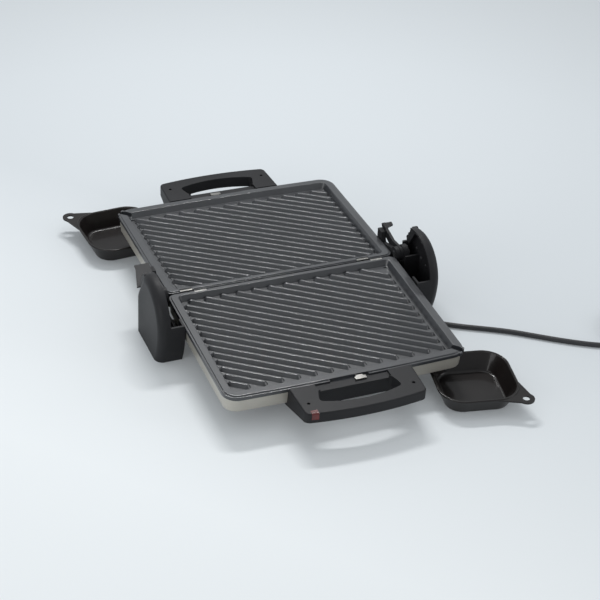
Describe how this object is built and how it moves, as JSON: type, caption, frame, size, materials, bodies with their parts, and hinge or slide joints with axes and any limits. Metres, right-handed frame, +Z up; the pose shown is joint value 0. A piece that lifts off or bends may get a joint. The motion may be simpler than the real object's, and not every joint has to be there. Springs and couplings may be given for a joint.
{
  "type": "contact grill",
  "caption": "Contact grill opened flat: two ribbed plates in silver casings, a rising hinge between black towers, bridge handles, drip pans and a mains cord.",
  "frame": {"origin": "on the table under the middle of the opened grill, its free cord left out", "axes": "+Y from the base handle to the lid handle of the opened grill, +X along the hinge to the side where the cord leaves, +Z up; the hinge line is at y = 0.0155, z = 0.060"},
  "size_m": [0.7515, 0.6195, 0.105],
  "materials": {
    "nonstick": "cast, dark satin non-stick coating",
    "silver": "satin champagne-silver lacquer",
    "black_plastic": "matte, finely textured",
    "lamp_red": "translucent red, glossy",
    "chrome": "polished",
    "steel": "plain zinc-plated sheet",
    "heater": "dark heater tube",
    "switch": "matte, light brown",
    "pan_black": "satin, glossier inside",
    "rubber": "matte",
    "cord_rubber": "satin",
    "brass": "nickel-plated pins"
  },
  "bodies": {
    "base": {"base_bottom": "black_plastic", "base_bottom_screws": "steel", "base_casing": "silver", "base_handle": "black_plastic", "base_handle_screws": "steel", "base_heat_shield": "steel", "cord": "cord_rubber", "cord_coil": "cord_rubber", "cord_gland": "rubber", "cord_tie": "black_plastic", "cross_beam": "steel", "front_feet": "rubber", "indicator_lamp": "lamp_red", "left_ratchet_plate": "black_plastic", "left_tower": "black_plastic", "lower_element_clips": "steel", "lower_grill_plate": "nonstick", "lower_heating_element": "heater", "lower_plate_tabs": "chrome", "plug": "cord_rubber", "plug_pins": "brass", "right_ratchet_plate": "black_plastic", "right_tower": "black_plastic", "terminal_block": "switch", "thermal_fuse": "steel", "thermostat": "switch", "tower_feet": "rubber", "tower_screws": "steel"},
    "lower_catch": {"lower_latch": "chrome"},
    "hinge_float": {"left_hinge_carriage": "black_plastic", "right_hinge_carriage": "black_plastic", "left_hinge_pin": "steel", "right_hinge_pin": "steel", "left_rest_arm": "black_plastic", "right_rest_arm": "black_plastic"},
    "lid": {"lid_casing": "silver", "lid_cover": "silver", "lid_cover_screws": "steel", "lid_heat_shield": "steel", "upper_heating_element": "heater", "upper_element_clips": "steel", "upper_grill_plate": "nonstick", "upper_plate_tabs": "chrome", "lid_handle": "black_plastic", "lid_handle_screws": "steel", "left_lid_arm": "black_plastic", "right_lid_arm": "black_plastic", "lid_arm_screws": "steel", "lid_feet": "rubber"},
    "upper_catch": {"upper_latch": "chrome"},
    "front_pan": {"front_drip_pan": "pan_black"},
    "rear_pan": {"rear_drip_pan": "pan_black"}
  },
  "joints": [
    {"name": "lower_latch_pull", "type": "slide", "parent": "base", "child": "lower_catch", "axis": [0, -0.9997, -0.0257], "range_m": [0, 0.0035], "stiffness_N_per_m": 400, "springref_m": -0.003},
    {"name": "hinge_rise", "type": "slide", "parent": "base", "child": "hinge_float", "axis": [0, 0, 1], "range_m": [0, 0.02]},
    {"name": "lid_hinge", "type": "hinge", "parent": "hinge_float", "child": "lid", "pos_m": [0, 0.0155, 0.06], "axis": [1, 0, 0], "range_deg": [0, 182.9]},
    {"name": "upper_latch_pull", "type": "slide", "parent": "lid", "child": "upper_catch", "axis": [0, 0.9997, -0.0257], "range_m": [0, 0.0035], "stiffness_N_per_m": 400, "springref_m": -0.003},
    {"name": "front_pan_pull", "type": "slide", "parent": "base", "child": "front_pan", "axis": [0.566, -0.8244, 0], "range_m": [0, 0.12]},
    {"name": "rear_pan_pull", "type": "slide", "parent": "base", "child": "rear_pan", "axis": [-0.755, 0.6557, 0], "range_m": [0, 0.12]}
  ]
}
